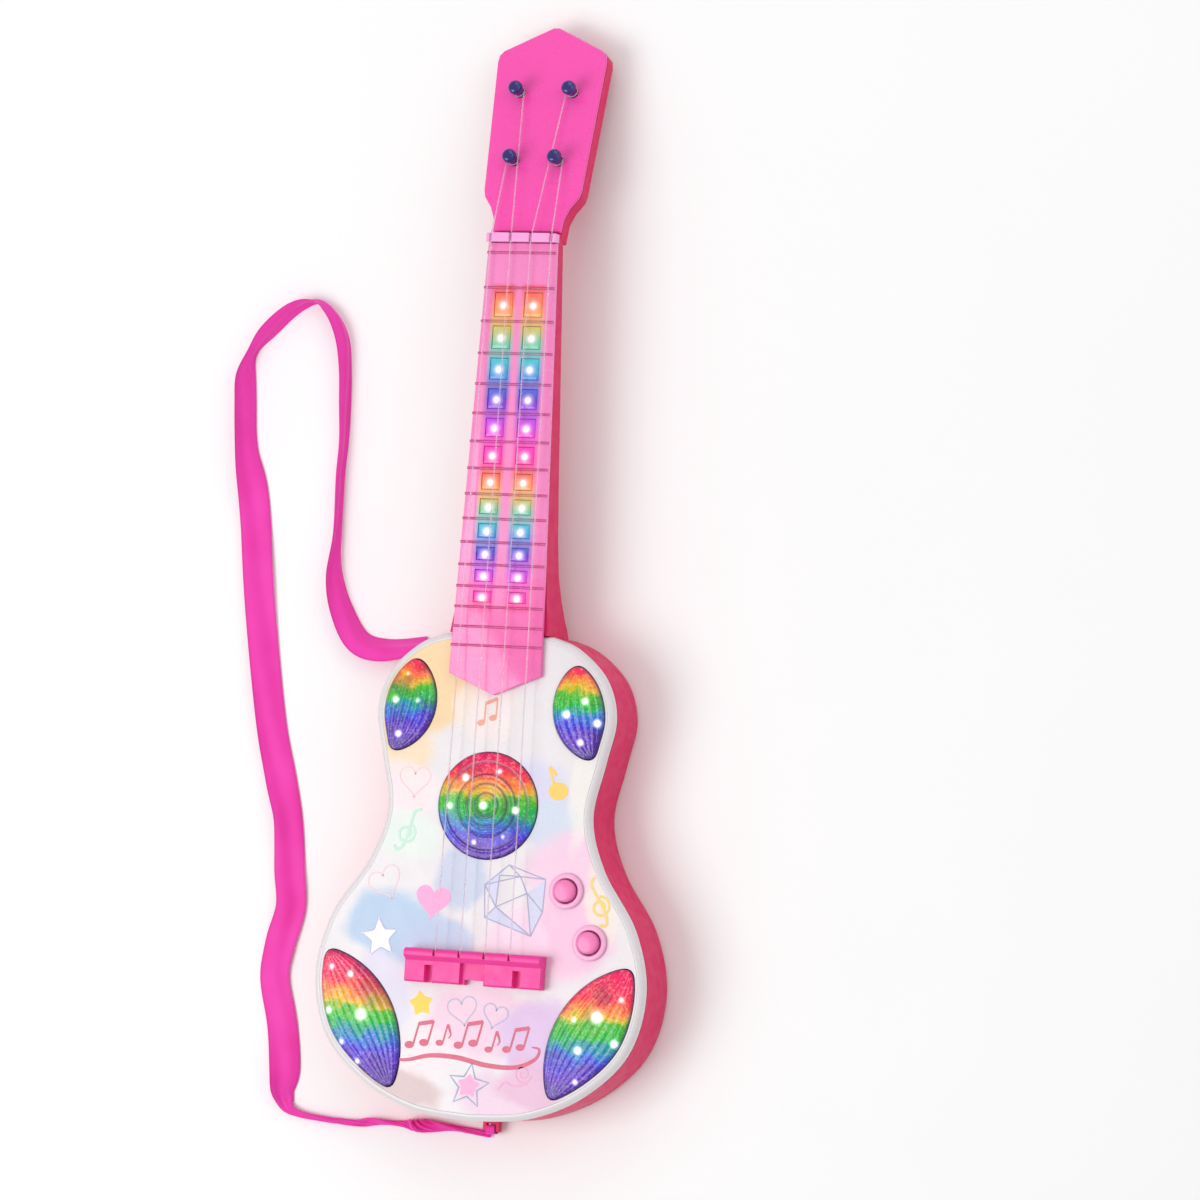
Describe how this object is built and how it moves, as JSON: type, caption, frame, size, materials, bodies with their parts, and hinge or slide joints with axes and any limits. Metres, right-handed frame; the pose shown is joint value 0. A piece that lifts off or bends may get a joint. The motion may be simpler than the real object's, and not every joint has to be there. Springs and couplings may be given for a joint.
{
  "type": "toy electric guitar",
  "caption": "Toy electric guitar with a pink shell, printed white face, rainbow light lenses, lit fretboard, strings, push buttons, tuning pegs and a ribbon strap.",
  "frame": {"origin": "middle of the guitar's box, on the surface that its back lies on; the free strap is not counted", "axes": "+Z out of the printed face, +Y along the neck to the tip of the head, +X to the side of the two push buttons"},
  "size_m": [0.256, 0.5523, 0.0452],
  "materials": {
    "pink_shell": "moulded satin gloss, raspberry pink",
    "white_shell": "moulded gloss, white with a grey cast at the rim",
    "printed_film": "printed film, pastel patches on white",
    "bright_pink": "moulded gloss, bright pink",
    "pale_pink": "moulded gloss, slightly translucent pale pink",
    "window": "tinted translucent, lit from behind",
    "clear_lens": "clear gloss",
    "rainbow_foil": "metallised rainbow foil",
    "navy_plastic": "moulded gloss, navy blue",
    "string_nylon": "translucent nylon",
    "steel": "plated",
    "green_board": "solder mask",
    "black_plastic": "moulded satin",
    "cone_paper": "pressed paper",
    "battery_wrap": "plain printed sleeve",
    "ribbon": "woven ribbon, magenta"
  },
  "bodies": {
    "guitar": {"body_back_shell": "pink_shell", "neck_shell": "pink_shell", "body_front_shell": "white_shell", "front_face_film": "printed_film", "headstock_cover": "bright_pink", "bridge": "bright_pink", "button_bezel_upper": "bright_pink", "button_bezel_lower": "bright_pink", "fretboard_cover": "pale_pink", "nut": "pale_pink", "led_window_upper_left": "window", "led_window_upper_right": "window", "led_window_lower_left": "window", "led_window_lower_right": "window", "sound_hole_lens": "clear_lens", "upper_left_petal_lens": "clear_lens", "upper_right_petal_lens": "clear_lens", "lower_left_petal_lens": "clear_lens", "lower_right_petal_lens": "clear_lens", "sound_hole_foil": "rainbow_foil", "upper_left_petal_foil": "rainbow_foil", "upper_right_petal_foil": "rainbow_foil", "lower_left_petal_foil": "rainbow_foil", "lower_right_petal_foil": "rainbow_foil", "string_1": "string_nylon", "string_2": "string_nylon", "string_3": "string_nylon", "string_4": "string_nylon", "housing_screw_1": "steel", "housing_screw_2": "steel", "housing_screw_3": "steel", "housing_screw_4": "steel", "speaker_frame": "steel", "lamp_board_upper": "green_board", "lamp_board_lower": "green_board", "fretboard_lamp_board": "green_board", "main_board": "green_board", "tact_switch_upper": "black_plastic", "tact_switch_lower": "black_plastic", "battery_box": "black_plastic", "power_switch": "black_plastic", "speaker_cone": "cone_paper", "battery_1": "battery_wrap", "battery_2": "battery_wrap", "battery_3": "battery_wrap", "strap_ribbon": "ribbon"},
    "peg_1": {"tuning_peg_1": "navy_plastic", "peg_knob_1": "navy_plastic"},
    "peg_2": {"tuning_peg_2": "navy_plastic", "peg_knob_2": "navy_plastic"},
    "peg_3": {"tuning_peg_3": "navy_plastic", "peg_knob_3": "navy_plastic"},
    "peg_4": {"tuning_peg_4": "navy_plastic", "peg_knob_4": "navy_plastic"},
    "upper_button": {"button_upper": "bright_pink"},
    "lower_button": {"button_lower": "bright_pink"},
    "door": {"battery_door": "pink_shell"},
    "door_screw": {"battery_door_screw": "steel"},
    "switch_slider": {"power_switch_knob": "black_plastic"}
  },
  "joints": [
    {"name": "tuning_peg_1_turn", "type": "hinge", "parent": "guitar", "child": "peg_1", "pos_m": [-0.012, 0.20469, 0.02783], "axis": [0, 0.2079, 0.9781], "continuous": true},
    {"name": "tuning_peg_2_turn", "type": "hinge", "parent": "guitar", "child": "peg_2", "pos_m": [-0.0142, 0.2401, 0.0203], "axis": [0, 0.2079, 0.9781], "continuous": true},
    {"name": "tuning_peg_3_turn", "type": "hinge", "parent": "guitar", "child": "peg_3", "pos_m": [0.0142, 0.2401, 0.0203], "axis": [0, 0.2079, 0.9781], "continuous": true},
    {"name": "tuning_peg_4_turn", "type": "hinge", "parent": "guitar", "child": "peg_4", "pos_m": [0.012, 0.20469, 0.02783], "axis": [0, 0.2079, 0.9781], "continuous": true},
    {"name": "button_upper_press", "type": "slide", "parent": "guitar", "child": "upper_button", "axis": [0, 0, -1], "range_m": [0, 0.0012], "stiffness_N_per_m": 800},
    {"name": "button_lower_press", "type": "slide", "parent": "guitar", "child": "lower_button", "axis": [0, 0, -1], "range_m": [0, 0.0012], "stiffness_N_per_m": 800},
    {"name": "battery_door_hinge", "type": "hinge", "parent": "guitar", "child": "door", "pos_m": [0, -0.24305, 0.0001], "axis": [-1, 0, 0], "range_deg": [0, 70]},
    {"name": "battery_door_screw_turn", "type": "hinge", "parent": "door", "child": "door_screw", "pos_m": [0, -0.19075, 0.0003], "axis": [0, 0, -1], "continuous": true},
    {"name": "power_switch_slide", "type": "slide", "parent": "guitar", "child": "switch_slider", "axis": [1, 0, 0], "range_m": [0, 0.0036]}
  ]
}
